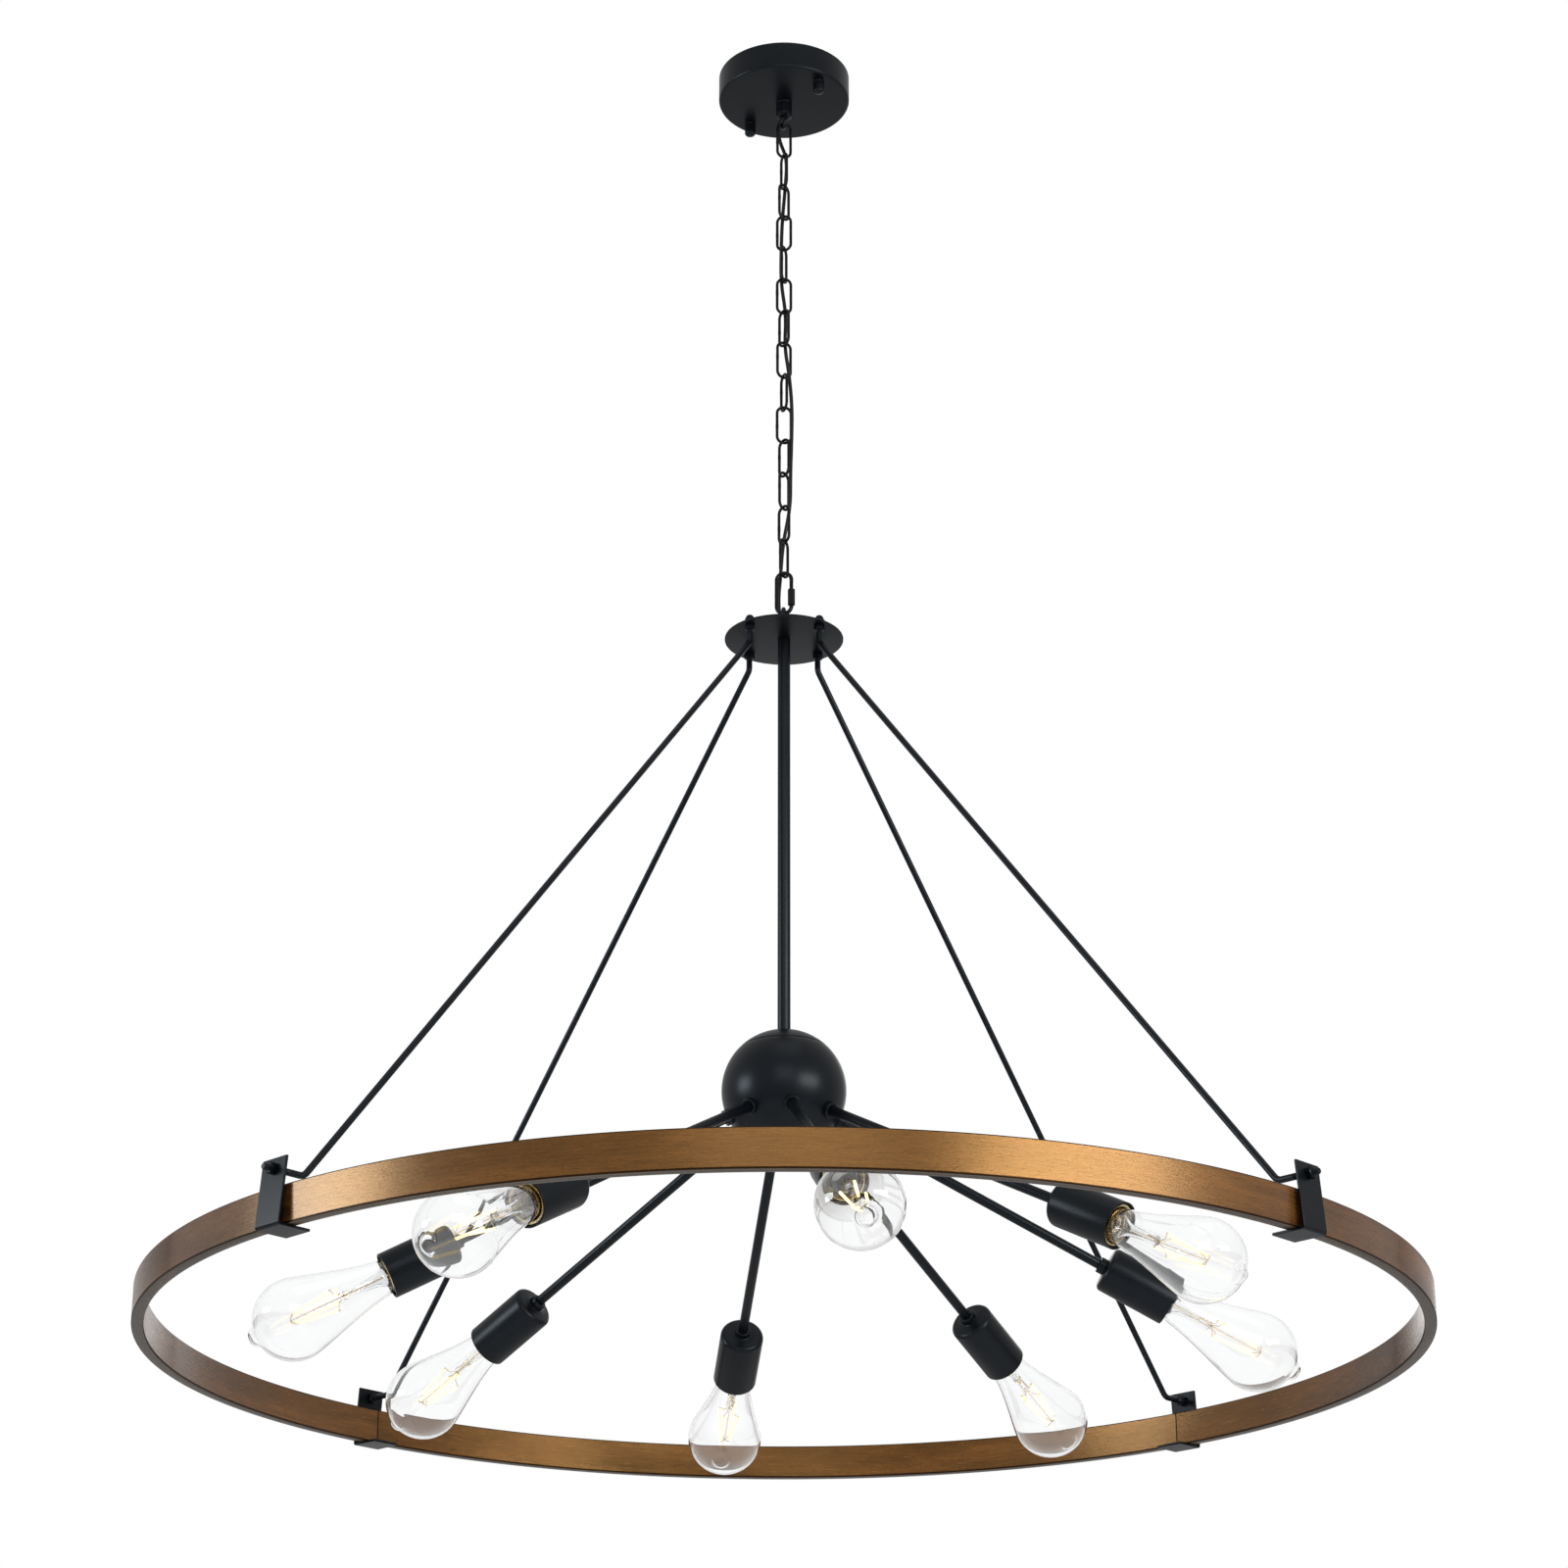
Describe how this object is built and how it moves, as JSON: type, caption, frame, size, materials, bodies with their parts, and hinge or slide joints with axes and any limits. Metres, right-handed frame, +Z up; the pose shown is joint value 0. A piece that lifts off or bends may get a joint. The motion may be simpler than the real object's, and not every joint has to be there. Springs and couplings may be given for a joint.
{
  "type": "wagon wheel chandelier",
  "caption": "Chandelier on a chain: a wooden hoop on tie rods round a black ball with slanting arms that carry clear pear-shaped bulbs.",
  "frame": {"origin": "centre of the canopy in the ceiling plane, on the mounting bar’s top face", "axes": "+Z up along the hanging axis; the brackets stand at 45 degrees to X and Y; -Y is the side the picture was taken from"},
  "size_m": [0.9998, 0.9998, 1.1847],
  "materials": {
    "black_metal": "satin black powder coat",
    "black_chain": "satin black enamel on welded wire",
    "zinc_steel": "zinc plated",
    "holder_plastic": "moulded, matt",
    "cord_jacket": "smooth black jacket",
    "stained_wood": "brown stain with fine long grain, satin lacquer",
    "screw_shell": "rolled thread, bright",
    "bulb_glass": "clear blown glass",
    "lit_filament": "yellow phosphor coat, glowing when lit"
  },
  "bodies": {
    "canopy": {"canopy_cover": "black_metal", "mounting_bar": "zinc_steel", "mounting_studs": "zinc_steel", "stud_nuts": "zinc_steel", "canopy_cap_nuts": "black_metal", "canopy_loop": "black_metal", "canopy_loop_nut": "zinc_steel", "cord_grip": "holder_plastic", "supply_cord": "cord_jacket"},
    "link_01": {"chain_link_01": "black_chain"},
    "link_02": {"chain_link_02": "black_chain"},
    "link_03": {"chain_link_03": "black_chain"},
    "link_04": {"chain_link_04": "black_chain"},
    "link_05": {"chain_link_05": "black_chain"},
    "link_06": {"chain_link_06": "black_chain"},
    "link_07": {"chain_link_07": "black_chain"},
    "link_08": {"chain_link_08": "black_chain"},
    "link_09": {"chain_link_09": "black_chain"},
    "link_10": {"chain_link_10": "black_chain"},
    "link_11": {"chain_link_11": "black_chain"},
    "link_12": {"chain_link_12": "black_chain"},
    "link_13": {"chain_link_13": "black_chain"},
    "link_14": {"chain_link_14": "black_chain"},
    "quick_link": {"quick_link": "black_chain"},
    "sleeve": {"quick_link_sleeve": "black_chain"},
    "lamp": {"lamp_loop": "black_metal", "top_plate": "black_metal", "stem_tube": "black_metal", "stem_nut": "zinc_steel", "ball_shell": "black_metal", "ball_cap": "black_metal", "tie_rod_1": "black_metal", "tie_rod_2": "black_metal", "tie_rod_3": "black_metal", "tie_rod_4": "black_metal", "rod_cap_nuts": "black_metal", "rod_under_nuts": "black_metal", "rod_end_nuts": "black_metal", "bracket_1": "black_metal", "bracket_2": "black_metal", "bracket_3": "black_metal", "bracket_4": "black_metal", "rim_segment_1": "stained_wood", "rim_segment_2": "stained_wood", "rim_segment_3": "stained_wood", "rim_segment_4": "stained_wood", "rim_dowels": "stained_wood", "arm_tubes": "black_metal", "arm_nuts": "black_metal", "socket_cups": "black_metal", "lampholders": "screw_shell"},
    "bulb_1": {"bulb_1": "bulb_glass"},
    "bulb_2": {"bulb_2": "bulb_glass"},
    "bulb_3": {"bulb_3": "bulb_glass"},
    "bulb_4": {"bulb_4": "bulb_glass"},
    "bulb_5": {"bulb_5": "bulb_glass"},
    "bulb_6": {"bulb_6": "bulb_glass"},
    "bulb_7": {"bulb_7": "bulb_glass"},
    "bulb_8": {"bulb_8": "bulb_glass"}
  },
  "joints": [
    {"name": "link_01_swing", "type": "hinge", "parent": "canopy", "child": "link_01", "pos_m": [0, 0, -0.0503], "axis": [-0.2419, 0.9703, 0], "range_deg": [-10, 10], "deforming": ["supply_cord"]},
    {"name": "link_02_swing", "type": "hinge", "parent": "link_01", "child": "link_02", "pos_m": [0, 0, -0.08185], "axis": [0.9703, 0.2419, 0], "range_deg": [-10, 10], "deforming": ["supply_cord"]},
    {"name": "link_03_swing", "type": "hinge", "parent": "link_02", "child": "link_03", "pos_m": [0, 0, -0.11385], "axis": [0.3907, -0.9205, 0], "range_deg": [-10, 10], "deforming": ["supply_cord"]},
    {"name": "link_04_swing", "type": "hinge", "parent": "link_03", "child": "link_04", "pos_m": [0, 0, -0.14585], "axis": [0.682, 0.7314, 0], "range_deg": [-10, 10], "deforming": ["supply_cord"]},
    {"name": "link_05_swing", "type": "hinge", "parent": "link_04", "child": "link_05", "pos_m": [0, 0, -0.17785], "axis": [0.9848, -0.1736, 0], "range_deg": [-10, 10], "deforming": ["supply_cord"]},
    {"name": "link_06_swing", "type": "hinge", "parent": "link_05", "child": "link_06", "pos_m": [0, 0, -0.20985], "axis": [0.342, 0.9397, 0], "range_deg": [-10, 10], "deforming": ["supply_cord"]},
    {"name": "link_07_swing", "type": "hinge", "parent": "link_06", "child": "link_07", "pos_m": [0, 0, -0.24185], "axis": [0.9962, 0.0872, 0], "range_deg": [-10, 10], "deforming": ["supply_cord"]},
    {"name": "link_08_swing", "type": "hinge", "parent": "link_07", "child": "link_08", "pos_m": [0, 0, -0.27385], "axis": [0.6428, -0.766, 0], "range_deg": [-10, 10], "deforming": ["supply_cord"]},
    {"name": "link_09_swing", "type": "hinge", "parent": "link_08", "child": "link_09", "pos_m": [0, 0, -0.30585], "axis": [0.9455, 0.3256, 0], "range_deg": [-10, 10], "deforming": ["supply_cord"]},
    {"name": "link_10_swing", "type": "hinge", "parent": "link_09", "child": "link_10", "pos_m": [0, 0, -0.33785], "axis": [0.3746, -0.9272, 0], "range_deg": [-10, 10], "deforming": ["supply_cord"]},
    {"name": "link_11_swing", "type": "hinge", "parent": "link_10", "child": "link_11", "pos_m": [0, 0, -0.36985], "axis": [0.9903, 0.1392, 0], "range_deg": [-10, 10], "deforming": ["supply_cord"]},
    {"name": "link_12_swing", "type": "hinge", "parent": "link_11", "child": "link_12", "pos_m": [0, 0, -0.40185], "axis": [0.6428, -0.766, 0], "range_deg": [-10, 10], "deforming": ["supply_cord"]},
    {"name": "link_13_swing", "type": "hinge", "parent": "link_12", "child": "link_13", "pos_m": [0, 0, -0.43385], "axis": [0.6428, 0.766, 0], "range_deg": [-10, 10], "deforming": ["supply_cord"]},
    {"name": "link_14_swing", "type": "hinge", "parent": "link_13", "child": "link_14", "pos_m": [0, 0, -0.46585], "axis": [0.6947, -0.7193, 0], "range_deg": [-10, 10], "deforming": ["supply_cord"]},
    {"name": "quick_link_swing", "type": "hinge", "parent": "link_14", "child": "quick_link", "pos_m": [0, 0, -0.49785], "axis": [0.5299, 0.848, 0], "range_deg": [-10, 10], "deforming": ["supply_cord"]},
    {"name": "lamp_swing", "type": "hinge", "parent": "quick_link", "child": "lamp", "pos_m": [0, 0, -0.5323], "axis": [0.9848, -0.1736, 0], "range_deg": [-10, 10], "deforming": ["supply_cord"]},
    {"name": "sleeve_travel", "type": "slide", "parent": "quick_link", "child": "sleeve", "axis": [0, 0, 1], "range_m": [0, 0.009]},
    {"name": "bulb_1_unscrew", "type": "slide", "parent": "lamp", "child": "bulb_1", "axis": [0.1079, -0.8788, -0.4648], "range_m": [0, 0.025]},
    {"name": "bulb_2_unscrew", "type": "slide", "parent": "lamp", "child": "bulb_2", "axis": [0.6977, -0.5451, -0.4648], "range_m": [0, 0.025]},
    {"name": "bulb_3_unscrew", "type": "slide", "parent": "lamp", "child": "bulb_3", "axis": [0.8788, 0.1079, -0.4648], "range_m": [0, 0.025]},
    {"name": "bulb_4_unscrew", "type": "slide", "parent": "lamp", "child": "bulb_4", "axis": [0.5451, 0.6977, -0.4648], "range_m": [0, 0.025]},
    {"name": "bulb_5_unscrew", "type": "slide", "parent": "lamp", "child": "bulb_5", "axis": [-0.1079, 0.8788, -0.4648], "range_m": [0, 0.025]},
    {"name": "bulb_6_unscrew", "type": "slide", "parent": "lamp", "child": "bulb_6", "axis": [-0.6977, 0.5451, -0.4648], "range_m": [0, 0.025]},
    {"name": "bulb_7_unscrew", "type": "slide", "parent": "lamp", "child": "bulb_7", "axis": [-0.8788, -0.1079, -0.4648], "range_m": [0, 0.025]},
    {"name": "bulb_8_unscrew", "type": "slide", "parent": "lamp", "child": "bulb_8", "axis": [-0.5451, -0.6977, -0.4648], "range_m": [0, 0.025]}
  ]
}
